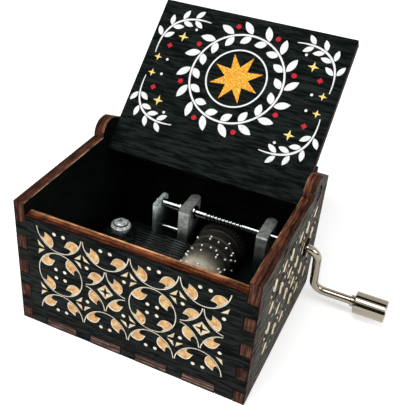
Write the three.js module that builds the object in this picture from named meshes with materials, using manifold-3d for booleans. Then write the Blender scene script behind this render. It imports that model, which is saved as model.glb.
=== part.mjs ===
// A small hand-cranked music box. The case is laser-cut plywood with finger joints, its lid
// swings on two tabs in the ears of the side walls, and a comb movement inside is driven by a
// bent wire crank through the right wall.
// Lengths are in millimetres. X is to the right, Y to the back, Z up. The origin is the middle
// of the case's underside.
import * as THREE from 'three';
import { mergeVertices } from 'three/addons/utils/BufferGeometryUtils.js';
import Module from 'manifold-3d';

const wasm = await Module();
wasm.setup();

// Case
const caseWidth = 64;
const caseDepth = 52;
const ply = 3;
const sideTop = 38;
const fingerHeight = 4;
const fingerCount = 5;
const baseTabWidth = 9;
const baseTabMargin = 4.8;
const baseTabsAlongWidth = 4;
const baseTabsAlongDepth = 3;
const kerf = 0.1;
const cutOverrun = 1;

// Ears of the side walls
const earRise = 4;
const earReach = 6.2;
const earCrestRadius = 3;
const earCrestLength = 1.3;
const earSlope = THREE.MathUtils.degToRad(28);

// Lid
const pivotInset = 5.5;
const pivotHoleRadius = 2.35;
const lidRearGap = 0.5;
const lidSideGap = 0.3;
const lidRestGap = 0.3;
const lidTabInset = 0.1;
const lidOpen = THREE.MathUtils.degToRad(137.3);

// Crank shaft and the hole it leaves by
const shaftInset = 9;
const shaftRadius = 1.2;
const shaftOverhang = 0.7;
const crankHoleRadius = 3;
const runningFit = 0.06;
const seatGap = 0.02;

// Crank
const armOutset = 3.5;
const armThrow = 16.2;
const armAngle = THREE.MathUtils.degToRad(14);
const bendRadius = 3.3;
const knobRadius = 3.15;
const knobLength = 8.8;
const knobChamfer = 0.35;
const knobStart = 12;
const knobStopRadius = 1.65;
const knobStopLength = 1;
const knobEndGap = 0.15;
const retainerRadius = 1.85;
const retainerThickness = 0.5;
const wireSides = 10;
const crankSteps = 34;

// Drum
const drumRadius = 6.5;
const drumWall = 0.6;
const drumToWheel = 1.4;
const axleRadius = 0.9;
const capThickness = 1.2;
const pinRadius = 0.22;
const pinHeight = 0.45;
const pinRoot = 0.3;
const pinSides = 5;
const pinsPerTrack = 3;

// Worm and its wheel
const wheelTeeth = 40;
const wormOuterRadius = 1.35;
const wormRootRadius = 0.85;
const wormTurns = 10;
const threadSteps = 8;
const wheelThickness = 2.4;
const wheelOverPins = 0.1;
const wheelFloorGap = 0.75;
const gearTipGap = 0.1;
const toothTipShare = 0.25;
const toothRootShare = 0.55;

// Bedplate, with its distances to the case's inner faces
const bedLeftGap = 4.5;
const bedRightGap = 6;
const bedFrontGap = 8.5;
const bedBackGap = 2;
const bedThickness = 2.2;
const bedCorner = 2;
const lugThickness = 3.1;
const lugAheadOfShaft = 3.3;
const lugBehindShaft = 6.2;
const lugAboveShaft = 1.6;
const rightLugInset = 2.55;
const wheelRightGap = 3.55;
const wheelLeftGap = 2.45;
const postThickness = 2;
const postWidth = 5;
const frontPostInset = 0.65;

// Comb
const combThickness = 0.8;
const combHeelInset = 0.5;
const combHeelLength = 6.8;
const combBackInset = 2.2;
const combFrontInset = 0.6;
const combTipGap = 0.25;
const toothCount = 18;
const toothSlot = 0.35;
const bassRootShare = 0.09;
const trebleRootShare = 0.45;

// Screws
const combScrewInset = 2.4;
const combScrewFromLeft = 3.4;
const screwHeadRadius = 2.6;
const screwHeadHeight = 1.5;
const screwShankRadius = 1.15;
const screwShankLength = 5;
const domeRimShare = 0.25;
const domeSquareness = 0.6;
const domeSteps = 4;
const recessWidth = 0.55;
const recessLength = 2.8;
const recessDepth = 0.7;
const washerRadius = 2.9;
const washerThickness = 0.5;
const mountHeadRadius = 2.3;
const mountHeadHeight = 1.2;
const mountShankRadius = 1;
const mountHoleRadius = 1.25;

// Stamped bracket on the shaft's left end
const bracketThickness = 1.2;
const bracketToLug = 6.4;
const bracketToComb = 0.4;
const bracketBehindShaft = 3.2;
const bracketFoot = 5;
const bracketScrewShare = 0.55;
const tieRodRadius = 0.7;
const tieRodAheadOfShaft = 1.4;
const tieRodBelowShaft = 7;
const tieRodSeat = 0.3;

// Clips and collars
const collarRadius = 1.9;
const collarThickness = 0.6;
const clipRadius = 1.6;
const clipThickness = 0.5;
const clipGap = 0.25;

const roundSides = 24;
const smallSides = 16;

const right = new THREE.Vector3(1, 0, 0);
const back = new THREE.Vector3(0, 1, 0);
const up = new THREE.Vector3(0, 0, 1);
const towardsFront = back.clone().negate();

// Places in the case
const innerX = caseWidth / 2 - ply;
const innerY = caseDepth / 2 - ply;
const pivotY = innerY - pivotInset;
const pivotZ = sideTop - ply / 2;
const shaftY = innerY - shaftInset;
const bedTop = ply + bedThickness;
const bedLeft = bedLeftGap - innerX;
const bedRight = innerX - bedRightGap;
const bedFront = bedFrontGap - innerY;
const bedBack = innerY - bedBackGap;

// Places in the movement
const wheelTipRadius = drumRadius + pinHeight + wheelOverPins;
const gearCentres = wheelTipRadius + gearTipGap + wormRootRadius;
const drumZ = bedTop + wheelTipRadius + wheelFloorGap;
const shaftZ = drumZ + gearCentres;
const rightLugX = bedRight - rightLugInset;
const drumX = rightLugX - lugThickness / 2 - wheelTipRadius - wheelRightGap;
const middleLugX = drumX - wheelTipRadius - lugThickness / 2 - wheelLeftGap;
const lugFront = shaftY - lugAheadOfShaft;
const lugBack = shaftY + lugBehindShaft;
const lugTop = shaftZ + lugAboveShaft;
const wheelBack = shaftY + wheelThickness / 2;
const frontPostY = bedFront + frontPostInset;
const rearPostY = wheelBack + clipGap;
const drumFront = frontPostY + postThickness + clipGap;
const drumBack = wheelBack - wheelThickness - drumToWheel;
const combTop = drumZ + combThickness / 2;
const combLeft = bedLeft + combHeelInset;
const combHeelRight = combLeft + combHeelLength;
const combTips = drumX - drumRadius - pinHeight - combTipGap;
const combBack = drumBack - combBackInset;
const combFront = drumFront + combFrontInset;
const combScrewX = combLeft + combScrewFromLeft;
const combScrewPlaces = { front: combFront + combScrewInset, back: combBack - combScrewInset };
const bracketRight = middleLugX - lugThickness / 2 - bracketToLug;
const bracketLeft = bracketRight - bracketThickness;
const bracketFront = combBack + bracketToComb;
const bracketBack = shaftY + bracketBehindShaft;
const bracketScrewX = bracketRight + bracketFoot / 2;
const bracketScrewY = (bracketFront + bracketBack) / 2 + tieRodRadius;
const bracketScrewRadius = screwShankRadius * bracketScrewShare;
const tieRodY = shaftY - tieRodAheadOfShaft;
const tieRodZ = shaftZ - tieRodBelowShaft;

const stained = () => new THREE.MeshStandardMaterial({ color: 0x1d2021, roughness: 0.6, metalness: 0 });
const zinc = () => new THREE.MeshStandardMaterial({ color: 0x7d8480, roughness: 0.5, metalness: 0.9 });
const steel = () => new THREE.MeshStandardMaterial({ color: 0xb4b6b2, roughness: 0.3, metalness: 1 });
const nickel = () => new THREE.MeshStandardMaterial({ color: 0xd6cfc2, roughness: 0.2, metalness: 1 });
const combSteel = () => new THREE.MeshStandardMaterial({ color: 0x3a3c3d, roughness: 0.35, metalness: 1 });

function toSolid(geometry) {
  const bare = geometry.clone();
  bare.deleteAttribute('normal');
  bare.deleteAttribute('uv');
  const merged = mergeVertices(bare, seatGap / 100);
  return new wasm.Manifold(new wasm.Mesh({
    numProp: 3,
    vertProperties: new Float32Array(merged.attributes.position.array),
    triVerts: new Uint32Array(merged.index.array),
  }));
}

function toGeometry(solid) {
  const mesh = solid.getMesh();
  const geometry = new THREE.BufferGeometry();
  geometry.setAttribute('position', new THREE.BufferAttribute(mesh.vertProperties, 3));
  geometry.setIndex(new THREE.BufferAttribute(mesh.triVerts, 1));
  return geometry;
}

function cut(geometry, ...tools) {
  return toGeometry(tools.reduce((solid, tool) => solid.subtract(toSolid(tool)), toSolid(geometry)));
}

function join(geometry, ...others) {
  return toGeometry(others.reduce((solid, other) => solid.add(toSolid(other)), toSolid(geometry)));
}

function block(x0, x1, y0, y1, z0, z1) {
  const box = new THREE.BoxGeometry(x1 - x0, y1 - y0, z1 - z0);
  return box.translate((x0 + x1) / 2, (y0 + y1) / 2, (z0 + z1) / 2);
}

// Puts a flat outline's x and y along two axes and its thickness along the third.
function plate(outline, thickness, alongX, alongY, place, segments = roundSides / 4) {
  const flat = new THREE.ExtrudeGeometry(outline, {
    depth: thickness, bevelEnabled: false, curveSegments: segments,
  });
  const alongThickness = alongX.clone().cross(alongY);
  return flat.applyMatrix4(new THREE.Matrix4().makeBasis(alongX, alongY, alongThickness))
    .translate(place.x, place.y, place.z);
}

// A round solid of the profile [distance along the axis, radius], on the axis at both ends.
function turned(profile, axis, place, sides = roundSides) {
  const points = profile.map(([along, radius]) => new THREE.Vector2(radius, along));
  const lathe = new THREE.LatheGeometry(points, sides);
  const turn = new THREE.Quaternion().setFromUnitVectors(back, axis);
  return lathe.applyQuaternion(turn).translate(place.x, place.y, place.z);
}

function rod(radius, length, axis, place, sides = roundSides) {
  return turned([[0, 0], [0, radius], [length, radius], [length, 0]], axis, place, sides);
}

function ring(inner, outer, length, axis, place, sides = roundSides) {
  const profile = [[0, inner], [0, outer], [length, outer], [length, inner], [0, inner]];
  return turned(profile, axis, place, sides);
}

function piece(name, geometry, material) {
  const mesh = new THREE.Mesh(geometry, material);
  mesh.name = name;
  return mesh;
}

const at = (x, y, z) => new THREE.Vector3(x, y, z);
const sameOnBothSides = (make) => [make(-1), make(1)];

// Case panels

// Heights at which the side walls' fingers show on the front and back of the case.
function fingerBottoms() {
  return Array.from({ length: fingerCount }, (_, i) => 2 * i * fingerHeight);
}

// Middles of the base's tabs along one side, whose inner faces stand inner from the middle.
function baseTabCentres(count, inner) {
  const last = inner - baseTabMargin - baseTabWidth / 2;
  return Array.from({ length: count }, (_, i) => THREE.MathUtils.lerp(-last, last, i / (count - 1)));
}

// Notches in the front or back wall that take the side walls' fingers and the base's tabs.
function crossWallNotches(y0, height) {
  const y1 = y0 + ply + cutOverrun;
  const start = y0 - cutOverrun;
  const inner = innerX - kerf;
  const outer = caseWidth / 2 + cutOverrun;
  const fingers = fingerBottoms().flatMap((z, i) => {
    const top = i === fingerCount - 1 ? height + cutOverrun : z + fingerHeight + kerf;
    const bottom = i === 0 ? -cutOverrun : z - kerf;
    return sameOnBothSides((side) => side > 0
      ? block(inner, outer, start, y1, bottom, top)
      : block(-outer, -inner, start, y1, bottom, top));
  });
  const half = baseTabWidth / 2 + kerf;
  const tabs = baseTabCentres(baseTabsAlongWidth, innerX).map((x) =>
    block(x - half, x + half, start, y1, -cutOverrun, ply + kerf));
  return [...fingers, ...tabs];
}

function crossWall(y0, height) {
  const panel = block(-caseWidth / 2, caseWidth / 2, y0, y0 + ply, 0, height);
  return cut(panel, ...crossWallNotches(y0, height));
}

// The lid's open face leans against the back wall's top inner edge.
function backWallHeight() {
  const lean = lidOpen - Math.PI / 2;
  const clear = ply / 2 + lidRestGap;
  return pivotZ + (pivotInset * Math.cos(lean) - clear) / Math.sin(lean);
}

function sideOutline() {
  const outline = new THREE.Shape();
  const half = caseDepth / 2;
  const earTop = sideTop + earRise;
  const arcCentreY = pivotY - earReach + earRise;
  const crestEnd = arcCentreY + earCrestLength;
  outline.moveTo(-half, 0);
  outline.lineTo(half, 0);
  const slopeY = crestEnd + earCrestRadius * Math.sin(earSlope);
  const slopeZ = earTop - earCrestRadius * (1 - Math.cos(earSlope));
  outline.lineTo(half, slopeZ - (half - slopeY) * Math.tan(earSlope));
  outline.lineTo(slopeY, slopeZ);
  const crestZ = earTop - earCrestRadius;
  outline.absarc(crestEnd, crestZ, earCrestRadius, Math.PI / 2 - earSlope, Math.PI / 2, false);
  outline.lineTo(arcCentreY, earTop);
  outline.absarc(arcCentreY, sideTop, earRise, Math.PI / 2, Math.PI, false);
  outline.lineTo(-half, sideTop);
  outline.closePath();
  const hole = new THREE.Path();
  hole.absarc(pivotY, pivotZ, pivotHoleRadius, 0, 2 * Math.PI, false);
  outline.holes.push(hole);
  return outline;
}

// Notches in a side wall that take the front and back walls' fingers and the base's tabs.
function sideNotches(x0) {
  const x1 = x0 + ply + cutOverrun;
  const start = x0 - cutOverrun;
  const inner = innerY - kerf;
  const outer = caseDepth / 2 + cutOverrun;
  const fingers = fingerBottoms().slice(0, -1).flatMap((z) => {
    const bottom = z + fingerHeight;
    const top = bottom + fingerHeight;
    return [block(start, x1, inner, outer, bottom, top), block(start, x1, -outer, -inner, bottom, top)];
  });
  const half = baseTabWidth / 2 + kerf;
  const tabs = baseTabCentres(baseTabsAlongDepth, innerY).map((y) =>
    block(start, x1, y - half, y + half, -cutOverrun, ply + kerf));
  return [...fingers, ...tabs];
}

function sideWall(x0, ...holes) {
  const panel = plate(sideOutline(), ply, back, up, at(x0, 0, 0));
  return cut(panel, ...sideNotches(x0), ...holes);
}

function basePanel() {
  const halfX = innerX - kerf;
  const halfY = innerY - kerf;
  const half = baseTabWidth / 2;
  const acrossWidth = baseTabCentres(baseTabsAlongWidth, innerX).map((x) =>
    block(x - half, x + half, -caseDepth / 2, caseDepth / 2, 0, ply));
  const acrossDepth = baseTabCentres(baseTabsAlongDepth, innerY).map((y) =>
    block(-caseWidth / 2, caseWidth / 2, y - half, y + half, 0, ply));
  const panel = join(block(-halfX, halfX, -halfY, halfY, 0, ply), ...acrossWidth, ...acrossDepth);
  const wells = mountingPlaces().flatMap(([x, y]) => [
    rod(mountHoleRadius, ply + 2 * cutOverrun, up, at(x, y, -cutOverrun), smallSides),
    rod(mountHeadRadius + kerf, mountHeadHeight + kerf + cutOverrun, up, at(x, y, -cutOverrun)),
  ]);
  return cut(panel, ...wells);
}

function lidOutline() {
  const halfPlate = innerX - lidSideGap;
  const halfTabs = caseWidth / 2 - lidTabInset;
  const front = -(pivotY + caseDepth / 2);
  const rear = pivotInset - lidRearGap;
  const halfTab = ply / 2;
  const outline = new THREE.Shape();
  outline.moveTo(-halfPlate, front);
  outline.lineTo(halfPlate, front);
  outline.lineTo(halfPlate, -halfTab);
  outline.lineTo(halfTabs, -halfTab);
  outline.lineTo(halfTabs, halfTab);
  outline.lineTo(halfPlate, halfTab);
  outline.lineTo(halfPlate, rear);
  outline.lineTo(-halfPlate, rear);
  outline.lineTo(-halfPlate, halfTab);
  outline.lineTo(-halfTabs, halfTab);
  outline.lineTo(-halfTabs, -halfTab);
  outline.lineTo(-halfPlate, -halfTab);
  outline.closePath();
  return outline;
}

// The lid is drawn closed about its pivot and swung open.
function lidGroup() {
  const group = new THREE.Group();
  const board = plate(lidOutline(), ply, right, back, at(0, 0, -ply / 2));
  group.add(piece('lid', board, stained()));
  group.position.set(0, pivotY, pivotZ);
  group.rotation.x = -lidOpen;
  return group;
}

// Bedplate

function mountingPlaces() {
  return [
    [combLeft + screwHeadRadius + mountHeadRadius, bedBack - postWidth],
    [bedRight - mountHeadRadius - bedCorner, bedFront + mountHeadRadius + bedCorner],
    [bedRight - mountHeadRadius - bedCorner, lugFront - mountHeadRadius - bedCorner],
  ];
}

function roundedPlan() {
  const plan = new THREE.Shape();
  const corners = [[bedLeft, bedFront], [bedRight, bedFront], [bedRight, bedBack], [bedLeft, bedBack]];
  const starts = [Math.PI, -Math.PI / 2, 0, Math.PI / 2];
  corners.forEach(([x, y], i) => {
    const cx = x + (x === bedLeft ? bedCorner : -bedCorner);
    const cy = y + (y === bedFront ? bedCorner : -bedCorner);
    plan.absarc(cx, cy, bedCorner, starts[i], starts[i] + Math.PI / 2, false);
  });
  plan.closePath();
  return plan;
}

// A lug seen from above has a square front and a round back.
function lug(x) {
  const half = lugThickness / 2;
  const plan = new THREE.Shape();
  plan.moveTo(x - half, lugFront);
  plan.lineTo(x + half, lugFront);
  plan.lineTo(x + half, lugBack - half);
  plan.absarc(x, lugBack - half, half, 0, Math.PI, false);
  plan.closePath();
  return plate(plan, lugTop - ply, right, back, at(0, 0, ply));
}

// A round-topped post that carries one end of the drum's axle.
function axlePost(y) {
  const outline = new THREE.Shape();
  const half = postWidth / 2;
  outline.moveTo(drumX - half, ply);
  outline.lineTo(drumX + half, ply);
  outline.lineTo(drumX + half, drumZ);
  outline.absarc(drumX, drumZ, half, 0, Math.PI, false);
  outline.closePath();
  return plate(outline, postThickness, right, up, at(0, y + postThickness, 0));
}

function bedplate() {
  const combStep = block(bedLeft, combHeelRight, combFront, combBack, ply, combTop - combThickness);
  const body = join(
    plate(roundedPlan(), bedThickness, right, back, at(0, 0, ply)),
    combStep, lug(middleLugX), lug(rightLugX), axlePost(frontPostY), axlePost(rearPostY),
  );
  const postSpan = rearPostY + postThickness - frontPostY + 2 * cutOverrun;
  const tapped = Object.values(combScrewPlaces).map((y) => rod(
    screwShankRadius + seatGap, screwShankLength + cutOverrun, up,
    at(combScrewX, y, combTop - screwShankLength - seatGap), smallSides));
  const mounting = mountingPlaces().map(([x, y]) => rod(
    mountShankRadius + runningFit, bedThickness + 2 * cutOverrun, up,
    at(x, y, ply - cutOverrun), smallSides));
  return cut(body,
    rod(shaftRadius + runningFit, rightLugX - middleLugX + 2 * lugThickness, right,
      at(middleLugX - lugThickness, shaftY, shaftZ)),
    rod(axleRadius + runningFit, postSpan, back, at(drumX, frontPostY - cutOverrun, drumZ)),
    rod(tieRodRadius + seatGap, 2 * tieRodSeat, right,
      at(middleLugX - lugThickness / 2 - tieRodSeat, tieRodY, tieRodZ), smallSides),
    rod(bracketScrewRadius + seatGap, bedThickness + 2 * cutOverrun, up,
      at(bracketScrewX, bracketScrewY, ply - cutOverrun), smallSides),
    ...tapped, ...mounting,
  );
}

// Bracket at the shaft's left end, with its screw and tie rod

function shaftBracket() {
  const outline = new THREE.Shape();
  const corner = bracketThickness;
  outline.moveTo(bracketFront, bedTop);
  outline.lineTo(bracketBack, bedTop);
  outline.lineTo(bracketBack, lugTop - corner);
  outline.absarc(bracketBack - corner, lugTop - corner, corner, 0, Math.PI / 2, false);
  outline.lineTo(bracketFront, lugTop);
  outline.closePath();
  const upright = plate(outline, bracketThickness, back, up, at(bracketLeft, 0, 0));
  const foot = block(bracketLeft, bracketRight + bracketFoot, bracketFront, bracketBack,
    bedTop, bedTop + bracketThickness);
  const reach = bracketThickness + 2 * cutOverrun;
  return cut(join(upright, foot),
    rod(shaftRadius + runningFit, reach, right, at(bracketLeft - cutOverrun, shaftY, shaftZ)),
    rod(tieRodRadius + seatGap, reach, right, at(bracketLeft - cutOverrun, tieRodY, tieRodZ), smallSides),
    rod(bracketScrewRadius + runningFit, reach, up,
      at(bracketScrewX, bracketScrewY, bedTop - cutOverrun), smallSides),
  );
}

function tieRod() {
  const start = bracketLeft;
  const end = middleLugX - lugThickness / 2 + tieRodSeat - seatGap;
  return rod(tieRodRadius - seatGap, end - start, right, at(start, tieRodY, tieRodZ), smallSides);
}

// Screws

// A round-headed screw with a cross recess. Its place is the underside of the head.
function roundHeadScrew(place, scale, shankLength) {
  const head = screwHeadRadius * scale;
  const height = screwHeadHeight * scale;
  const shank = screwShankRadius * scale;
  const dome = Array.from({ length: domeSteps + 1 }, (_, i) => {
    const angle = i / domeSteps * Math.PI / 2;
    const radius = i === domeSteps ? 0 : head * Math.cos(angle) ** domeSquareness;
    return [height * THREE.MathUtils.lerp(domeRimShare, 1, Math.sin(angle)), radius];
  });
  const profile = [[-shankLength, 0], [-shankLength, shank], [0, shank], [0, head], ...dome];
  const half = recessWidth * scale / 2;
  const reach = recessLength * scale / 2;
  const bottom = height - recessDepth * scale;
  const across = block(-reach, reach, -half, half, bottom, height + cutOverrun);
  const along = block(-half, half, -reach, reach, bottom, height + cutOverrun);
  return cut(turned(profile, up, at(0, 0, 0)), across, along).translate(place.x, place.y, place.z);
}

// A flat-headed screw that comes up from below. Its place is the middle of its head's face.
function mountingScrew(x, y) {
  const shankTop = bedTop - kerf;
  const profile = [
    [kerf, 0], [kerf, mountHeadRadius], [mountHeadHeight, mountHeadRadius],
    [mountHeadHeight, mountShankRadius], [shankTop, mountShankRadius], [shankTop, 0],
  ];
  const half = recessWidth / 2;
  const reach = recessLength / 2;
  const top = kerf + recessDepth;
  return cut(turned(profile, up, at(x, y, 0), smallSides),
    block(x - reach, x + reach, y - half, y + half, -cutOverrun, top),
    block(x - half, x + half, y - reach, y + reach, -cutOverrun, top));
}

// Comb

// Bass teeth, at the back, are cut further into the plate than treble teeth.
function comb() {
  const body = block(combLeft, combTips, combFront, combBack, combTop - combThickness, combTop);
  const pitch = (combBack - combFront) / toothCount;
  const slots = Array.from({ length: toothCount - 1 }, (_, i) => {
    const y = combBack - (i + 1) * pitch;
    const share = THREE.MathUtils.lerp(bassRootShare, trebleRootShare, i / (toothCount - 2));
    const root = THREE.MathUtils.lerp(combHeelRight, combTips, share);
    return block(root, combTips + cutOverrun, y - toothSlot / 2, y + toothSlot / 2,
      combTop - combThickness - cutOverrun, combTop + cutOverrun);
  });
  const holes = Object.values(combScrewPlaces).map((y) => rod(
    screwShankRadius + runningFit, 2 * cutOverrun + combThickness, up,
    at(combScrewX, y, combTop - combThickness - cutOverrun), smallSides));
  return cut(body, ...slots, ...holes);
}

// Drum

// A few pins for each tooth, on a staggered spiral.
function drumPins() {
  const pitch = (combBack - combFront) / toothCount;
  const goldenTurn = Math.PI * (3 - Math.sqrt(5));
  const pins = [];
  for (let track = 0; track < toothCount; track += 1) {
    for (let i = 0; i < pinsPerTrack; i += 1) {
      const angle = (track * pinsPerTrack + i) * goldenTurn;
      const outwards = at(Math.cos(angle), 0, Math.sin(angle));
      const place = at(drumX, combBack - (track + 0.5) * pitch, drumZ)
        .addScaledVector(outwards, drumRadius - pinRoot);
      pins.push(rod(pinRadius, pinRoot + pinHeight, outwards, place, pinSides));
    }
  }
  return pins;
}

function drumBarrel() {
  const shell = ring(drumRadius - drumWall, drumRadius, drumBack - drumFront, back,
    at(drumX, drumFront, drumZ), 2 * roundSides);
  return join(shell, ...drumPins());
}

function drumCap(y) {
  const outer = drumRadius - drumWall - runningFit;
  return ring(axleRadius + runningFit, outer, capThickness, back, at(drumX, y, drumZ));
}

function drumAxle() {
  const start = frontPostY - clipGap - clipThickness - clipGap;
  const end = rearPostY + postThickness + 2 * clipGap + clipThickness;
  return rod(axleRadius, end - start, back, at(drumX, start, drumZ));
}

function axleClip(y) {
  return ring(axleRadius + seatGap, clipRadius, clipThickness, back, at(drumX, y, drumZ));
}

const wormPitchRadius = (wormOuterRadius + wormRootRadius) / 2;
const wheelPitchRadius = gearCentres - wormPitchRadius;
const toothPitch = 2 * Math.PI * wheelPitchRadius / wheelTeeth;
const leadSlope = toothPitch / (2 * Math.PI * wormPitchRadius);

// Each tooth is a trapezoid with its root just under the worm's crest and its tip just short
// of the worm's core. The teeth lean by the worm's lead.
function wormWheel() {
  const root = gearCentres - wormOuterRadius - gearTipGap;
  const toothAngle = 2 * Math.PI / wheelTeeth;
  const outline = new THREE.Shape();
  for (let i = 0; i < wheelTeeth; i += 1) {
    const centre = Math.PI / 2 + i * toothAngle;
    const corners = [
      [-toothRootShare / 2, root], [-toothTipShare / 2, wheelTipRadius],
      [toothTipShare / 2, wheelTipRadius], [toothRootShare / 2, root],
    ];
    corners.forEach(([share, radius], j) => {
      const angle = centre + share * toothAngle;
      const point = [radius * Math.cos(angle), radius * Math.sin(angle)];
      if (i + j === 0) outline.moveTo(...point);
      else outline.lineTo(...point);
    });
  }
  outline.closePath();
  const bore = new THREE.Path();
  bore.absarc(0, 0, axleRadius + runningFit, 0, 2 * Math.PI, false);
  outline.holes.push(bore);
  const wheel = new THREE.ExtrudeGeometry(outline, {
    depth: wheelThickness, bevelEnabled: false, curveSegments: smallSides / 2,
  });
  leanTeeth(wheel);
  const stand = new THREE.Matrix4().makeBasis(right, up, towardsFront);
  return wheel.applyMatrix4(stand).translate(drumX, wheelBack, drumZ);
}

function leanTeeth(wheel) {
  const places = wheel.attributes.position;
  const spot = new THREE.Vector3();
  for (let i = 0; i < places.count; i += 1) {
    spot.fromBufferAttribute(places, i);
    const fromMiddle = spot.z - wheelThickness / 2;
    spot.applyAxisAngle(up, fromMiddle * leadSlope / wheelPitchRadius);
    places.setXYZ(i, spot.x, spot.y, spot.z);
  }
}

// Crank

const wormStart = drumX - wormTurns * toothPitch / 2;
const wormEnd = drumX + wormTurns * toothPitch / 2;
const armX = caseWidth / 2 + armOutset;
const armDirection = at(0, Math.sin(armAngle), -Math.cos(armAngle));
const knobCentre = at(0, shaftY, shaftZ).addScaledVector(armDirection, armThrow);
const knobLeft = armX + knobStart;
const knobRight = knobLeft + knobLength;

// The thread's height at a phase, where 0 is the middle of a crest.
function threadRadius(phase) {
  const fromCrest = Math.abs(phase - Math.round(phase));
  const flank = (toothRootShare - toothTipShare) / 2;
  const fall = THREE.MathUtils.clamp((fromCrest - toothTipShare / 2) / flank, 0, 1);
  return THREE.MathUtils.lerp(wormOuterRadius, wormRootRadius, fall);
}

// A right-hand thread on the shaft. Below the shaft its crests lie half a tooth to each side
// of the wheel's top tooth.
function wormThread() {
  const around = wireSides;
  const rings = wormTurns * threadSteps;
  const spots = [at(wormStart, shaftY, shaftZ), at(wormEnd, shaftY, shaftZ)];
  const faces = [];
  for (let i = 0; i <= rings; i += 1) {
    const x = THREE.MathUtils.lerp(wormStart, wormEnd, i / rings);
    for (let j = 0; j < around; j += 1) {
      const angle = 2 * Math.PI * j / around;
      const phase = (x - drumX) / toothPitch - angle / (2 * Math.PI) - 1 / 4 - 1 / 2;
      const radius = threadRadius(phase);
      spots.push(at(x, shaftY + radius * Math.cos(angle), shaftZ + radius * Math.sin(angle)));
    }
  }
  const index = (i, j) => 2 + i * around + j % around;
  for (let j = 0; j < around; j += 1) {
    faces.push(0, index(0, j + 1), index(0, j));
    faces.push(1, index(rings, j), index(rings, j + 1));
    for (let i = 0; i < rings; i += 1) {
      faces.push(index(i, j), index(i, j + 1), index(i + 1, j));
      faces.push(index(i, j + 1), index(i + 1, j + 1), index(i + 1, j));
    }
  }
  const geometry = new THREE.BufferGeometry().setFromPoints(spots);
  geometry.setIndex(faces);
  return geometry;
}

// The centreline of the bent wire from inside the case to the knob's outer end.
function crankPath(wireStart, wireEnd) {
  const bendOne = at(armX, shaftY, shaftZ);
  const bendTwo = at(armX, knobCentre.y, knobCentre.z);
  const path = new THREE.CurvePath();
  const before = bendOne.clone().addScaledVector(right, -bendRadius);
  const after = bendOne.clone().addScaledVector(armDirection, bendRadius);
  const low = bendTwo.clone().addScaledVector(armDirection, -bendRadius);
  const out = bendTwo.clone().addScaledVector(right, bendRadius);
  path.add(new THREE.LineCurve3(at(wireStart, shaftY, shaftZ), before));
  path.add(new THREE.QuadraticBezierCurve3(before, bendOne, after));
  path.add(new THREE.LineCurve3(after, low));
  path.add(new THREE.QuadraticBezierCurve3(low, bendTwo, out));
  path.add(new THREE.LineCurve3(out, at(wireEnd, knobCentre.y, knobCentre.z)));
  return path;
}

function wireSection() {
  const section = new THREE.Shape();
  section.absarc(0, 0, shaftRadius, 0, 2 * Math.PI, false);
  return section;
}

function crankRod() {
  const joinLength = seatGap;
  const shaftLeftEnd = bracketLeft - shaftOverhang;
  const leftPart = rod(shaftRadius, wormStart + joinLength - shaftLeftEnd, right,
    at(shaftLeftEnd, shaftY, shaftZ), wireSides);
  const bentStart = innerX;
  const middlePart = rod(shaftRadius, bentStart + joinLength - wormEnd + joinLength, right,
    at(wormEnd - joinLength, shaftY, shaftZ), wireSides);
  const bent = new THREE.ExtrudeGeometry(wireSection(), {
    steps: crankSteps,
    curveSegments: wireSides / 2,
    bevelEnabled: false,
    extrudePath: crankPath(bentStart, knobRight - retainerThickness - knobEndGap),
  });
  return join(wormThread(), leftPart, middlePart, bent);
}

function crankKnob() {
  const bore = shaftRadius + runningFit;
  const well = retainerRadius + runningFit;
  const wellStart = knobLength - retainerThickness - 2 * knobEndGap;
  const profile = [
    [0, bore], [0, knobRadius - knobChamfer], [knobChamfer, knobRadius],
    [knobLength - knobChamfer, knobRadius], [knobLength, knobRadius - knobChamfer],
    [knobLength, well], [wellStart, well], [wellStart, bore], [0, bore],
  ];
  return turned(profile, right, at(knobLeft, knobCentre.y, knobCentre.z));
}

function onShaft(x, outer, length) {
  return ring(shaftRadius + seatGap, outer, length, right, at(x, shaftY, shaftZ));
}

function knobStop() {
  const start = knobLeft - knobEndGap - knobStopLength;
  return ring(shaftRadius + seatGap, knobStopRadius, knobStopLength, right,
    at(start, knobCentre.y, knobCentre.z));
}

function knobRetainer() {
  const start = knobRight - retainerThickness - knobEndGap;
  return rod(retainerRadius, retainerThickness, right,
    at(start + seatGap, knobCentre.y, knobCentre.z));
}

// Assembly

function caseGroup() {
  const group = new THREE.Group();
  const frontHeight = pivotZ - ply / 2 - lidRestGap;
  const crankHole = rod(crankHoleRadius, ply + 2 * cutOverrun, right,
    at(innerX - cutOverrun, shaftY, shaftZ));
  group.add(
    piece('front_wall', crossWall(-caseDepth / 2, frontHeight), stained()),
    piece('back_wall', crossWall(innerY, backWallHeight()), stained()),
    piece('left_wall', sideWall(-caseWidth / 2), stained()),
    piece('right_wall', sideWall(innerX, crankHole), stained()),
    piece('base_panel', basePanel(), stained()),
  );
  return group;
}

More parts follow.
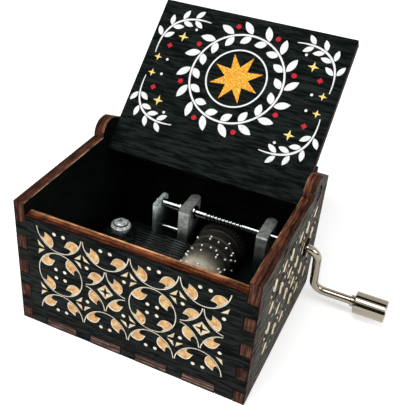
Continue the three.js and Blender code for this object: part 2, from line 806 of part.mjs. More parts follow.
function movementGroup() {
  const group = new THREE.Group();
  group.add(
    piece('bedplate', bedplate(), zinc()),
    piece('shaft_bracket', shaftBracket(), steel()),
    piece('tie_rod', tieRod(), steel()),
    piece('comb', comb(), combSteel()),
  );
  const bracketScrewTop = bedTop + bracketThickness + seatGap;
  group.add(piece('bracket_screw', roundHeadScrew(at(bracketScrewX, bracketScrewY, bracketScrewTop),
    bracketScrewShare, bracketThickness + bedThickness / 2), steel()));
  Object.entries(combScrewPlaces).forEach(([end, y]) => {
    const washerZ = combTop + seatGap;
    const headZ = washerZ + washerThickness + seatGap;
    const washer = ring(screwShankRadius + runningFit, washerRadius, washerThickness, up,
      at(combScrewX, y, washerZ));
    const screw = roundHeadScrew(at(combScrewX, y, headZ), 1, screwShankLength);
    group.add(piece(`comb_washer_${end}`, washer, steel()), piece(`comb_screw_${end}`, screw, steel()));
  });
  mountingPlaces().forEach(([x, y], i) => {
    group.add(piece(`mounting_screw_${i + 1}`, mountingScrew(x, y), steel()));
  });
  return group;
}

function drumGroup() {
  const group = new THREE.Group();
  group.add(
    piece('drum_barrel', drumBarrel(), steel()),
    piece('drum_cap_front', drumCap(drumFront), steel()),
    piece('drum_cap_back', drumCap(drumBack - capThickness), steel()),
    piece('drum_axle', drumAxle(), steel()),
    piece('worm_wheel', wormWheel(), steel()),
    piece('axle_clip_front', axleClip(frontPostY - clipGap - clipThickness), steel()),
    piece('axle_clip_back', axleClip(rearPostY + postThickness + clipGap), steel()),
  );
  return group;
}

function crankGroup() {
  const group = new THREE.Group();
  const lugLeftFace = middleLugX - lugThickness / 2;
  group.add(
    piece('crank_rod', crankRod(), nickel()),
    piece('shaft_collar_left', onShaft(lugLeftFace - clipGap - collarThickness, collarRadius,
      collarThickness), steel()),
    piece('shaft_collar_right', onShaft(lugLeftFace + lugThickness + clipGap, collarRadius,
      collarThickness), steel()),
    piece('knob_stop', knobStop(), nickel()),
    piece('knob_retainer', knobRetainer(), nickel()),
    piece('crank_knob', crankKnob(), nickel()),
  );
  return group;
}

const group = new THREE.Group();
group.add(caseGroup(), lidGroup(), movementGroup(), drumGroup(), crankGroup());

export default group;
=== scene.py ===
"""Looks of a small hand-cranked music box: a case of stained, laser-cut plywood with an engraved
lattice, a lid with a printed wreath, a pinned-drum movement and a crank of bent wire.

Everything is in metres. X is to the right, Y to the back, Z up, and the origin is the middle of
the case's underside.
"""
import random
from math import cos, pi, radians, sin, tau

import bmesh
import bpy
from bmesh import ops
from bmesh.types import BMEdge, BMFace, BMVert
from mathutils import Matrix, Vector
from mathutils.geometry import interpolate_bezier


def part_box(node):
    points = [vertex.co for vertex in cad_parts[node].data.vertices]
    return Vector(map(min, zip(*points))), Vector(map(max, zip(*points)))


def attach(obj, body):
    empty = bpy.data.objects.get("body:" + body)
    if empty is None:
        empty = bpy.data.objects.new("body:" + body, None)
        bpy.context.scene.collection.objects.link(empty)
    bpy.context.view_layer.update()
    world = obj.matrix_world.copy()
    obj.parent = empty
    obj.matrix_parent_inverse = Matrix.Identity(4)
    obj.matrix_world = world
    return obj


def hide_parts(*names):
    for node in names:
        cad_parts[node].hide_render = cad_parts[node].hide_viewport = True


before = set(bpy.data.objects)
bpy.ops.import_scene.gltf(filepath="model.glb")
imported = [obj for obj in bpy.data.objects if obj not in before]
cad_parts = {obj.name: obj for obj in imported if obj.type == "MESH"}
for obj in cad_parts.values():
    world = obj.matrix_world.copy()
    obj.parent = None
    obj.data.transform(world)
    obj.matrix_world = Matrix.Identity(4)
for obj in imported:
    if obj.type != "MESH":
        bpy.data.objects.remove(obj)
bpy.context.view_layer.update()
scene = bpy.context.scene

mm = 0.001
RIGHT = Vector((1, 0, 0))
BACK = Vector((0, 1, 0))
UP = Vector((0, 0, 1))

# Case
ply = 3 * mm
case_width = 64 * mm
case_depth = 52 * mm
lid_pivot = Vector((0, 17.5 * mm, 36.5 * mm))
lid_open = radians(137.3)
case_middle = Vector((0, 0, 20 * mm))
ply_waver = 0.09
veneer_start = 0.18
veneer_end = 0.86
edge_wear = 0.13 * mm
weld = 0.001 * mm
flat_angle = radians(0.5)

# Crank and worm
shaft_y = 14 * mm
shaft_z = 21 * mm
wire_radius = 1.2 * mm
arm_x = 35.5 * mm
arm_throw = 16.2 * mm
arm_angle = radians(14)
bend_radius = 3.3 * mm
drum_x = 8.3 * mm
worm_turns = 10
worm_outer = 1.35 * mm
worm_root = 0.85 * mm
wheel_teeth = 40
wheel_pitch_radius = 6.9 * mm
crest_share = 0.25
thread_base_share = 0.55

# Drum
drum_radius = 6.5 * mm
lug_top = 22.6 * mm
lug_front = 10.6 * mm
right_lug_from = 18.5 * mm
drum_wall = 0.6 * mm
drum_chamfer = 0.1 * mm
pin_radius = 0.3 * mm
pin_height = 0.45 * mm
track_count = 18
pins_per_track = 5
beats = 48
beat_drift = 0.3
tune_seed = 7
pin_root = 0.2 * mm


# Materials


def srgb(red, green, blue):
    """A colour given as 8-bit screen values, as the linear one a shader takes."""
    def linear(value):
        share = value / 255
        return share / 12.92 if share <= 0.04045 else ((share + 0.055) / 1.055) ** 2.4
    return (linear(red), linear(green), linear(blue), 1)


class Nodes:
    """A node tree while it is being built."""

    def __init__(self, tree):
        self.tree = tree

    def node(self, kind, inputs=(), **properties):
        node = self.tree.nodes.new("ShaderNode" + kind)
        for key, value in properties.items():
            setattr(node, key, value)
        for key, value in dict(inputs).items():
            if isinstance(value, bpy.types.NodeSocket):
                self.tree.links.new(value, node.inputs[key])
            else:
                node.inputs[key].default_value = value
        return node

    def math(self, operation, *values):
        return self.node("Math", enumerate(values), operation=operation).outputs[0]

    def seen_level(self, elsewhere, seen):
        """One level for what the camera, a reflection or glass sees, and another for other rays."""
        path = self.node("LightPath").outputs
        rays = path["Is Camera Ray"]
        for kind in ("Is Glossy Ray", "Is Transmission Ray"):
            rays = self.math("MAXIMUM", rays, path[kind])
        levels = {"Value": rays, "To Min": elsewhere, "To Max": seen}
        return self.node("MapRange", levels).outputs["Result"]


class Finish(Nodes):
    """A node material while it is being built. Patterns are laid out in Object coordinates."""

    def __init__(self, name, **constants):
        self.material = bpy.data.materials.new(name)
        self.material.use_nodes = True
        super().__init__(self.material.node_tree)
        self.shader = self.tree.nodes["Principled BSDF"]
        self.place = self.node("TexCoord").outputs["Object"]
        for socket, value in constants.items():
            self.shader.inputs[socket.replace("_", " ")].default_value = value

    def noise(self, scale, detail=4, roughness=0.55, stretch=None):
        """Cloudy noise. Its grains measure 1 / scale metres, and more where stretch is small."""
        vector = self.place
        if stretch:
            vector = self.node("Mapping", {"Vector": vector, "Scale": stretch}).outputs["Vector"]
        inputs = {"Vector": vector, "Scale": scale, "Detail": detail, "Roughness": roughness}
        return self.node("TexNoise", inputs).outputs["Fac"]

    def ramp(self, share, *stops):
        """Turns a share into a grey level or a linear colour, by stops of (place, colour)."""
        node = self.node("ValToRGB", {"Fac": share})
        elements = node.color_ramp.elements
        while len(elements) < len(stops):
            elements.new(1)
        for element, (place, colour) in zip(elements, stops):
            element.position = place
            element.color = colour if isinstance(colour, tuple) else (colour, colour, colour, 1)
        return node.outputs["Color"]

    def tones(self, share, *stops):
        """A ramp whose colours are 8-bit screen values."""
        return self.ramp(share, *((place, srgb(*colour)) for place, colour in stops))

    def multiply(self, first, second):
        inputs = {"Fac": 1, "Color1": first, "Color2": second}
        return self.node("MixRGB", inputs, blend_type="MULTIPLY").outputs["Color"]

    def share_along(self, axis, start, length):
        """Distance along an axis from a start, as a share of a length."""
        inputs = {0: self.place, 1: axis}
        along = self.node("VectorMath", inputs, operation="DOT_PRODUCT").outputs["Value"]
        return self.math("DIVIDE", self.math("SUBTRACT", along, start), length)

    def bump(self, height, depth, strength):
        """Relief of a depth in metres, over any that is there."""
        under = self.shader.inputs["Normal"]
        inputs = {"Height": height, "Distance": depth, "Strength": strength}
        if under.is_linked:
            inputs["Normal"] = under.links[0].from_socket
        self.feed("Normal", self.node("Bump", inputs).outputs["Normal"])

    def feed(self, socket, value):
        self.tree.links.new(value, self.shader.inputs[socket])


def stained_face(name, stretch, dark, middle, light, satin, sheen=0, relief=0.04 * mm):
    """Stained birch: faint lighter grain, fine pores and a little satin. At a grazing angle the
    raised grain looks dusty. satin is the gloss in the grain's dark and raised parts."""
    finish = Finish(name, Sheen_Roughness=0.4, Sheen_Tint=srgb(255, 236, 196),
                    Specular_Tint=srgb(226, 255, 248))
    grain = finish.noise(1, detail=6, roughness=0.62, stretch=stretch)
    clouds = finish.noise(120, detail=3)
    wood = finish.tones(grain, (0.32, dark), (0.5, middle), (0.72, light))
    worn = finish.ramp(clouds, (0.35, 0.75), (0.7, 1.15))
    finish.feed("Base Color", finish.multiply(wood, worn))
    finish.feed("Roughness", finish.ramp(grain, (0.3, 0.46), (0.7, 0.62)))
    finish.feed("Specular IOR Level", finish.ramp(grain, (0.42, satin[0]), (0.58, satin[1])))
    if sheen:
        finish.feed("Sheen Weight", finish.ramp(grain, (0.4, 0.0), (0.6, 2 * sheen)))
    pores = finish.noise(2.4, detail=2, stretch=stretch)
    finish.bump(finish.ramp(pores, (0.34, 0.0), (0.44, 1.0)), 0.05 * mm, 0.5)
    finish.bump(grain, relief, 0.6)
    return finish.material


def plies(skin, glue, veneers, corner):
    """Tones across a cut edge, from the panel's outer face to its inner one: the stained skin, the
    veneers with glue between them, and a tone for the inner corner."""
    share = 1 / len(veneers)
    stops = [(0.0, skin)]
    for i, (outer, inner) in enumerate(veneers):
        stops += [((i + veneer_start) * share, outer), ((i + veneer_end) * share, inner),
                  ((i + 1) * share, glue)]
    stops[-1] = (1.0, corner)
    return stops


sanded_front = plies((30, 16, 12), (46, 24, 16), [
    ((88, 38, 18), (80, 38, 20)), ((114, 64, 38), (136, 82, 52)), ((156, 102, 68), (204, 146, 104)),
], (110, 68, 48))
sanded_side = plies((24, 15, 12), (34, 18, 13), [
    ((66, 40, 30), (58, 33, 24)), ((72, 40, 28), (86, 50, 36)), ((96, 56, 38), (104, 64, 46)),
], (178, 148, 124))
scorched = plies((22, 16, 14), (98, 72, 62), [((50, 32, 26), (92, 56, 42))] * 3, (22, 16, 14))
scorched_base = plies((26, 20, 18), (150, 128, 120), [((54, 39, 36), (92, 68, 59))] * 3,
                      (26, 20, 18))
charred = plies((10, 8, 8), (38, 26, 22), [((20, 13, 11), (38, 22, 17))] * 3, (14, 11, 10))


def cut_edge(name, axis, start, char_stretch, stops):
    """Laser-cut plywood seen edge on, streaked along its plies and smoked by the cut."""
    finish = Finish(name, Specular_IOR_Level=0.04, Roughness=0.62)
    wobble = finish.noise(1, detail=6, roughness=0.72, stretch=char_stretch)
    waver = finish.math("MULTIPLY", finish.math("SUBTRACT", wobble, 0.5), ply_waver)
    place = finish.math("ADD", finish.share_along(axis, start, ply), waver)
    veneers = finish.tones(place, *stops)
    char = finish.ramp(wobble, (0.38, 0.16), (0.5, 0.95), (0.62, 1.75))
    smoke = finish.ramp(finish.noise(330, detail=5, roughness=0.7), (0.34, 0.42), (0.58, 1.16))
    finish.feed("Base Color", finish.multiply(finish.multiply(veneers, char), smoke))
    finish.bump(wobble, 0.08 * mm, 0.7)
    return finish.material


def engraved(name, dark, middle, light):
    """Bare wood under the stain, scored line by line."""
    finish = Finish(name, Roughness=0.75, Specular_IOR_Level=0.25)
    mottle = finish.noise(900, detail=5, roughness=0.7)
    fibre = finish.noise(1, stretch=(500, 500, 2600))
    wood = finish.tones(mottle, (0.3, dark), (0.5, middle), (0.68, light))
    tone = finish.ramp(fibre, (0.35, 0.86), (0.6, 1.0))
    finish.feed("Base Color", finish.multiply(wood, tone))
    finish.bump(fibre, 0.03 * mm, 0.6)
    return finish.material


def metal(name, colour, spread, roughness, grain_scale, relief, stretch=None, metallic=1):
    """Bare metal whose tone and polish vary in patches. spread is how far the tone strays."""
    finish = Finish(name, Metallic=metallic)
    patches = finish.noise(grain_scale, detail=5, roughness=0.6, stretch=stretch)
    low = tuple(value * (1 - spread) for value in colour[:3]) + (1,)
    high = tuple(min(value * (1 + spread), 1) for value in colour[:3]) + (1,)
    finish.feed("Base Color", finish.ramp(patches, (0.3, low), (0.5, colour), (0.72, high)))
    smooth, rough = roughness
    finish.feed("Roughness", finish.ramp(patches, (0.3, rough), (0.7, smooth)))
    finish.bump(patches, relief, 0.6)
    return finish.material


def casting(name, bright, deep, painted_light_stops):
    """A rough grey casting, mottled, with painted shade towards its foot and a painted highlight
    band just below its top.
    """
    finish = Finish(name, Specular_IOR_Level=0.3, Roughness=0.5)
    painted_light = finish.ramp(finish.share_along(UP, 0, lug_top), *painted_light_stops)
    blotches = finish.ramp(finish.noise(900, detail=6, roughness=0.7), (0.36, 0.55), (0.6, 1.2))
    lit_tone = finish.tones(painted_light, (0.0, deep), (1.0, bright))
    finish.feed("Base Color", finish.multiply(lit_tone, blotches))
    finish.bump(blotches, 0.05 * mm, 0.6)
    return finish.material


def drum_finish(colour):
    """Dull turned metal with painted shade towards the wheel's end, where a few bright rings are
    painted round the barrel as highlights.
    """
    finish = Finish("drum_metal", Metallic=0.1, Specular_IOR_Level=0.3, Roughness=0.4)
    low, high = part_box("drum_barrel")
    place = finish.share_along(BACK, low.y, high.y - low.y)
    # Painted shade along the barrel, with bright rings as painted highlights.
    painted_shade_and_rings = finish.ramp(place, (0.0, 1.0), (0.32, 0.9), (0.48, 0.2), (0.6, 0.03), (0.68, 0.12),
                      (0.7, 0.03), (0.82, 0.03), (0.84, 0.16), (0.87, 0.03), (0.97, 0.03),
                      (1.0, 0.16))
    patches = finish.ramp(finish.noise(420, detail=6, roughness=0.7), (0.34, 0.5), (0.62, 1.0))
    finish.feed("Base Color", finish.multiply(colour, finish.multiply(painted_shade_and_rings, patches)))
    finish.bump(patches, 0.008 * mm, 0.6)
    return finish.material


def print_ink(name, colour, thin):
    """Flat print. Where the ink is thin, the stain below darkens it."""
    finish = Finish(name, Roughness=0.5, Specular_IOR_Level=0.15)
    speckle = finish.noise(2600, detail=3, roughness=0.6)
    finish.feed("Base Color", finish.tones(speckle, (0.3, thin), (0.46, colour)))
    finish.bump(speckle, 0.01 * mm, 0.5)
    return finish.material


def gold_glitter():
    """Flakes of many golds, each tilted its own way."""
    finish = Finish("gold_glitter", Metallic=0.2, Roughness=0.45, Specular_IOR_Level=0.2)
    flakes = finish.node("TexVoronoi", {"Vector": finish.place, "Scale": 4800})
    split = finish.node("SeparateColor", {"Color": flakes.outputs["Color"]})
    shade = split.outputs["Red"]
    golds = finish.tones(shade, (0.0, (168, 98, 8)), (0.35, (208, 140, 16)),
                         (0.8, (220, 158, 30)), (0.95, (240, 200, 104)))
    finish.feed("Base Color", golds)
    finish.bump(shade, 0.04 * mm, 0.8)
    return finish.material


# Patterns are long along the axis whose number is small.
along_x = (170, 1300, 1300)
along_y = (1300, 170, 1300)
side_grain = (1500, 140, 1500)
along_wall_x = (160, 1500, 160)
along_wall_y = (1500, 160, 160)
along_base = (160, 160, 1500)
along_lid = (300, 900, 900)

lid_up = Matrix.Rotation(-lid_open, 3, "X") @ -BACK
lid_out = Matrix.Rotation(-lid_open, 3, "X") @ -UP

outer_stain = ((2, 4, 4), (7, 11, 10), (24, 31, 29))
# The side walls' stain has lighter, warmer streaks than the front's: painted sheen for the grazing
# light on those walls, over the grain.
side_stain_painted_sheen = ((4, 5, 4), (14, 14, 12), (56, 54, 45))
# The inner faces' stain is darker than the outer faces': painted shade for the inside of the box.
shaded_inner_stain = ((5, 6, 6), (9, 10, 10), (14, 16, 16))
stain_x = stained_face("stained_face_x", along_x, *outer_stain, (0.02, 0.085), 0.04)
stain_y_painted_sheen = stained_face("stained_face_y_painted_sheen", side_grain, *side_stain_painted_sheen, (0.0, 0.115), 0.1, 0.2 * mm)
shaded_inside_x = stained_face("shaded_inside_face_x", along_x, *shaded_inner_stain, (0.05, 0.08))
shaded_inside_y = stained_face("shaded_inside_face_y", along_y, *shaded_inner_stain, (0.05, 0.08))


def cut_edges(name, axis, start, char_stretch, top, ends):
    """The finishes of a panel's top edges, of its ends, and of the dark rim round the ends, which
    is partly the char of the cut and partly painted shade in the joints' gaps.
    """
    kinds = {"sanded": top, "scorched": ends, "charred": charred}
    return [cut_edge(f"{kind}_edge_{name}", axis, start, char_stretch, stops)
            for kind, stops in kinds.items()]


engraved_tan = engraved("engraved_tan", (178, 116, 62), (226, 178, 118), (244, 216, 160))
engraved_pale = engraved("engraved_pale", (206, 178, 136), (240, 222, 186), (252, 244, 222))
engraved_cream = engraved("engraved_cream", (226, 202, 166), (255, 246, 226), (255, 252, 242))

# A casting's painted light by height, from its foot, at 0, to the lugs' tops, at 1: painted shade
# low down and a painted highlight band below the top edge
lug_painted_light = [(0.45, 0.0), (0.62, 0.04), (0.7, 0.2), (0.77, 0.4), (0.93, 0.46), (0.955, 0.7),
            (0.985, 0.22)]
right_lug_painted_light = [(0.55, 0.0), (0.66, 0.015), (0.74, 0.06), (0.83, 0.09), (0.86, 0.145), (0.95, 0.145),
             (0.96, 0.9), (0.98, 0.9), (0.992, 0.26)]
bracket_painted_light = [(0.6, 0.05), (0.76, 0.1), (0.88, 0.42), (0.93, 0.9), (0.965, 1.1), (0.985, 0.42)]
zinc = casting("zinc_casting", (244, 248, 240), (8, 18, 19), lug_painted_light)
right_lug_shaded_zinc = casting("right_lug_shaded_zinc", (244, 248, 240), (6, 18, 20), right_lug_painted_light)
bracket_zinc = casting("bracket_zinc", (236, 252, 246), (8, 24, 24), bracket_painted_light)
plated = metal("plated_steel", srgb(128, 134, 131), 0.15, (0.08, 0.16), 500, 0.003 * mm)
screw_steel = metal("screw_steel", srgb(232, 240, 237), 0.75, (0.16, 0.3), 900, 0.06 * mm,
                    metallic=0.25)
# Painted shade for the screws' grooves and cross recesses.
recess_shade = metal("recess_shade", srgb(34, 42, 40), 0.5, (0.35, 0.5), 900, 0.02 * mm, metallic=0.2)
comb_steel = metal("comb_steel", srgb(118, 124, 124), 0.25, (0.2, 0.36), 1, 0.004 * mm,
                   stretch=(60, 1600, 400))
drum_metal = drum_finish(srgb(232, 222, 198))
wheel_metal = metal("wheel_metal", srgb(40, 40, 38), 0.4, (0.2, 0.34), 400, 0.005 * mm,
                    metallic=0.4)
# The pins are coloured near white: bright steel with a painted glint.
pin_steel_painted_glint = metal("pin_steel_painted_glint", srgb(254, 253, 250), 0.01, (0.14, 0.22), 900, 0.002 * mm,
                  metallic=0.3)
nickel = metal("nickel", srgb(150, 142, 127), 0.08, (0.05, 0.1), 300, 0.004 * mm)
white_ink = print_ink("white_ink", (234, 235, 234), (196, 197, 196))
red_ink = print_ink("red_ink", (190, 12, 34), (142, 10, 24))
yellow_ink = print_ink("yellow_ink", (244, 214, 128), (196, 162, 84))
glitter = gold_glitter()


# Mesh making


def scene_object(name, data):
    made = bpy.data.objects.new(name, data)
    scene.collection.objects.link(made)
    return made


def mesh_of(name, bm, *finishes):
    mesh = bpy.data.meshes.new(name)
    bm.to_mesh(mesh)
    bm.free()
    for finish in finishes:
        mesh.materials.append(finish)
    return mesh


def only(kind, elements):
    return [element for element in elements if isinstance(element, kind)]


def piece(name, bm, finishes, body, slot, *replaced):
    """Makes the object, which rides on a body and stands for the replaced nodes."""
    made = scene_object(name, mesh_of(name, bm, *finishes))
    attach(made, body)
    if replaced:
        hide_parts(*replaced)
    return made


def copy_of(node):
    """The node's shape with its triangles joined into whole faces."""
    bm = bmesh.new()
    bm.from_mesh(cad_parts[node].data)
    ops.remove_doubles(bm, verts=bm.verts, dist=weld)
    ops.dissolve_limit(bm, angle_limit=flat_angle, verts=bm.verts, edges=bm.edges)
    return bm


def soften(bm, width, segments=2, sharper_than=radians(30)):
    """Rounds the outward edges."""
    edges = [e for e in bm.edges if e.is_manifold and e.calc_face_angle_signed() > sharper_than]
    ops.bevel(bm, geom=edges, offset=width, offset_type="OFFSET", affect="EDGES",
                    segments=segments, profile=0.5, material=-1, clamp_overlap=True)


def smooth(bm, up_to=radians(32)):
    """Shades faces smoothly across the edges that turn less than up_to."""
    for face in bm.faces:
        face.smooth = True
    for edge in bm.edges:
        edge.smooth = edge.is_manifold and edge.calc_face_angle() < up_to


def turned(profile, centre, axis, steps=48):
    """The form that a profile of (distance along the axis, radius) makes when it is spun."""
    bm = bmesh.new()
    side = axis.orthogonal().normalized()
    closed = profile[0] == profile[-1]
    verts = [bm.verts.new(centre + axis * along + side * radius)
             for along, radius in (profile[:-1] if closed else profile)]
    pairs = zip(verts, verts[1:] + verts[:1] if closed else verts[1:])
    edges = [bm.edges.new(pair) for pair in pairs]
    ops.spin(bm, geom=verts + edges, cent=centre, axis=axis, angle=tau, steps=steps,
                   use_merge=True)
    ops.remove_doubles(bm, verts=bm.verts, dist=weld)
    ops.recalc_face_normals(bm, faces=bm.faces)
    return bm


def close_ends(bm):
    ops.holes_fill(bm, edges=[e for e in bm.edges if e.is_boundary], sides=0)
    ops.recalc_face_normals(bm, faces=bm.faces)


def rounded_bar(length, radius, chamfer, bore=0):
    """A bar's profile. With a bore it is a ring's, which meets its own start."""
    profile = [(0, bore), (0, radius - chamfer), (chamfer, radius), (length - chamfer, radius),
               (length, radius - chamfer), (length, bore)]
    return profile + profile[:1] if bore else profile


def softened_piece(name, finish, body, slot, width, node):
    """A node's shape with rounded edges and its own finish."""
    bm = copy_of(node)
    soften(bm, width)
    smooth(bm)
    return piece(name, bm, [finish], body, slot, node)


def turned_piece(name, profile, centre, axis, finish, body, slot, *replaced):
    bm = turned(profile, centre, axis)
    smooth(bm)
    return piece(name, bm, [finish], body, slot, *replaced)


def cut(target, cutter_mesh):
    """Takes a closed mesh out of a piece and keeps the finishes of both."""
    cutter = scene_object("cutter", cutter_mesh)
    modifier = target.modifiers.new("cut", "BOOLEAN")
    modifier.operation = "DIFFERENCE"
    modifier.solver = "EXACT"
    modifier.material_mode = "TRANSFER"
    modifier.object = cutter
    bpy.context.view_layer.update()
    evaluated = target.evaluated_get(bpy.context.evaluated_depsgraph_get())
    target.data = bpy.data.meshes.new_from_object(evaluated)
    target.modifiers.clear()
    bpy.data.objects.remove(cutter)


# Drawings. Each has its own plane, with u to the right and v up, seen from outside.

compass = [Vector((1, 0)), Vector((0, 1)), Vector((-1, 0)), Vector((0, -1))]
diagonals = [compass[i] + compass[(i + 1) % 4] for i in range(4)]


def plane_at(place, up, outwards):
    """Takes a drawing's u, v and height over its plane to the frame."""
    axes = Matrix((up.cross(outwards), up, outwards)).transposed().to_4x4()
    return Matrix.Translation(place) @ axes


def heading(angle):
    return Vector((cos(angle), sin(angle)))


def left_of(direction):
    return Vector((-direction.y, direction.x))


def circle(centre, radius, sides):
    return [centre + radius * heading(tau * i / sides) for i in range(sides)]


class Drawing:
    """Flat figures that are drawn out of their plane into closed solids."""

    def __init__(self, plane):
        self.plane = plane
        self.bm = bmesh.new()

    def spots(self, outline):
        return [self.bm.verts.new(self.plane @ point.to_3d()) for point in outline]

    def flat(self, outline):
        return self.bm.faces.new(self.spots(outline))

    def band(self, outer, inner, closed):
        """Faces between two rows of points. A closed band meets its own start."""
        pairs = list(zip(self.spots(outer), self.spots(inner)))
        if closed:
            pairs.append(pairs[0])
        return [self.bm.faces.new([a, c, d, b]) for (a, b), (c, d) in zip(pairs, pairs[1:])]

    def draw_out(self, faces, height):
        """Gives the faces a height and returns the vertices and faces at its end."""
        drawn = ops.extrude_face_region(self.bm, geom=faces)["geom"]
        verts = only(BMVert, drawn)
        ops.translate(self.bm, verts=verts, vec=self.plane.to_3x3() @ UP * height)
        return verts, only(BMFace, drawn)

    def dot(self, centre, radius, sides=12):
        self.figure(circle(centre, radius, sides))

    def mesh(self, name, *finishes):
        ops.recalc_face_normals(self.bm, faces=self.bm.faces)
        return mesh_of(name, self.bm, *finishes)


# Engraved lattice

cell_width = 12.85 * mm
cell_height = 13.65 * mm
middle_row = 19.6 * mm
circle_reach = Vector((6.4 * mm, 6.76 * mm))
line_share = 0.954
engrave_depth = 0.07 * mm
leaf_rim_depth = 0.09 * mm
leaf_depth = 0.14 * mm
leaf_core_share = 0.87
tool_overrun = 0.1 * mm
dot_radius = 0.54 * mm
dot_offset = Vector((1.28 * mm, 1.34 * mm))
diamond_reach = 2.3 * mm
star_arm = 1.6 * mm
star_waist = 0.34 * mm
petal_reach = 2.45 * mm
petal_gap = 0.14 * mm
petal_waist = 0.5 * mm

# Places of a panel's finishes
STAIN, SANDED, CREAM, PALE, TAN, SCORCHED, SHADED_INSIDE, CHAR_AND_GAP_SHADE = range(8)


def on_circle(centre, degrees, share=1.0):
    return centre + circle_reach * share * heading(radians(degrees))


class Engraving(Drawing):
    """A cutter for one wall's lattice, or for its leaves. It is one closed solid per figure."""

    def __init__(self, wall_plane, leaf_finish):
        super().__init__(wall_plane @ Matrix.Translation((0, 0, tool_overrun)))
        self.leaf_finish = leaf_finish

    def sink(self, faces, depth=engrave_depth, finish=CREAM):
        """Deepens flat faces into a solid with burnt walls and returns its floor."""
        verts, floor_faces = self.draw_out(faces, -depth - tool_overrun)
        for face in {f for v in verts for f in v.link_faces}:
            face.material_index = finish if face in floor_faces else CHAR_AND_GAP_SHADE
        return floor_faces

    def figure(self, outline, depth=engrave_depth, finish=CREAM):
        return self.sink([self.flat(outline)], depth, finish)

    def arc(self, centre, start, end, step=6):
        """Part of a lattice circle as a fine line, or the whole of it."""
        closed = end - start == 360
        count = round((end - start) / step)
        angles = [start + (end - start) * i / count for i in range(count if closed else count + 1)]
        outer = [on_circle(centre, a) for a in angles]
        inner = [on_circle(centre, a, line_share) for a in angles]
        self.sink(self.band(outer, inner, closed))

    def leaf(self, centre, quarter):
        """A curled leaf inside a lattice circle. Its back bulges towards the middle, and its tip
        curls over a bite. Its points are (degrees into the quarter, share of the circle)."""
        base, tip, foot = Vector((67, 0.95)), Vector((19, 0.67)), Vector((23, 0.95))
        middle = Vector((46, 0.765))
        back = interpolate_bezier(base, Vector((79, 0.54)), Vector((47, 0.36)), tip, 14)
        bite = interpolate_bezier(tip, Vector((32, 0.71)), Vector((47, 0.86)), foot, 9)
        rim = [foot.lerp(base, i / 6) for i in range(1, 6)]
        start = 90 * quarter
        outline = [on_circle(centre, start + p.x, p.y) for p in [*back, *bite[1:], *rim]]
        rim_floor = self.figure(outline, leaf_rim_depth)
        verts, floor_faces = self.draw_out(rim_floor, leaf_rim_depth - leaf_depth)
        ops.delete(self.bm, geom=[f for f in rim_floor if f.is_valid],
                         context="FACES_KEEP_BOUNDARY")
        spot = on_circle(centre, start + middle.x, middle.y)
        pivot = self.plane @ (spot.to_3d() - UP * (leaf_depth + tool_overrun))
        ops.scale(self.bm, verts=verts, vec=Vector((1, 1, 1)) * leaf_core_share,
                        space=Matrix.Translation(-pivot))
        for face in floor_faces:
            face.material_index = self.leaf_finish

    def diamond(self, centre):
        """A diamond with a four-pointed star left standing in it."""
        outer = self.spots([centre + diamond_reach * d for d in compass])
        arms = self.spots([centre + star_arm * d for d in compass])
        waists = self.spots([centre + star_waist * d for d in diagonals])
        faces = []
        for i in range(4):
            j = (i + 1) % 4
            faces.append(self.bm.faces.new([outer[i], outer[j], arms[j], waists[i], arms[i]]))
        self.sink(faces, finish=PALE)

    def petal(self, centre, quarter):
        """One of the four petals round a small dark star."""
        a, b = compass[quarter], compass[(quarter + 1) % 4]
        long, short = petal_reach - petal_gap, petal_gap
        self.figure([centre + long * a + short * b, centre + long * b + short * a,
                     centre + petal_waist * diagonals[quarter]], finish=PALE)


def draw_quarter(lines, leaves, centre, quarter):
    """A leaf and a dot in one quarter of a circle."""
    leaves.leaf(centre, quarter)
    lines.dot(centre + dot_offset * diagonals[quarter], dot_radius, sides=14)


def draw_lattice(lines, leaves, middle_u, columns):
    """Rows of circles that touch. Every other one of the middle row is a star between circles."""
    first = Vector((middle_u - (columns - 1) / 2 * cell_width, middle_row))
    across, rise = Vector((cell_width, 0)), Vector((0, cell_height))
    # Arcs stop these degrees short of touching.
    end_trim, side_trim = 8, 4
    for column in range(columns):
        middle = first + column * across
        lines.arc(middle + rise, 180 + side_trim, 360 - side_trim, 4)
        lines.arc(middle - rise, side_trim, 180 - side_trim, 4)
        for quarter in range(4):
            row = middle - rise if quarter in (0, 1) else middle + rise
            draw_quarter(lines, leaves, row, quarter)
        if column % 2:
            lines.diamond(middle)
        else:
            lines.arc(middle, 0, 360)
            for quarter in range(4):
                draw_quarter(lines, leaves, middle, quarter)
    for gap in range(columns + 1):
        for side in (1, -1):
            centre = first + (gap - 0.5) * across + side / 2 * rise
            for quarter in range(4):
                rightwards, upwards = diagonals[quarter]
                column = gap if rightwards > 0 else gap - 1
                if not 0 <= column < columns:
                    continue
                if column % 2 and upwards != side:
                    trims = (side_trim, end_trim) if quarter in (0, 2) else (end_trim, side_trim)
                    lines.arc(centre, 90 * quarter + trims[0], 90 * (quarter + 1) - trims[1])
                    draw_quarter(lines, leaves, centre, quarter)
                else:
                    lines.petal(centre, quarter)


# Case panels. The ends of fingers and tabs are picked by their area.

least_end = 2 * mm * mm
largest_end = 60 * mm * mm
gap_shade_width = 0.24 * mm
lowest_top = 34 * mm
least_rise = 0.4
least_facing = 0.98


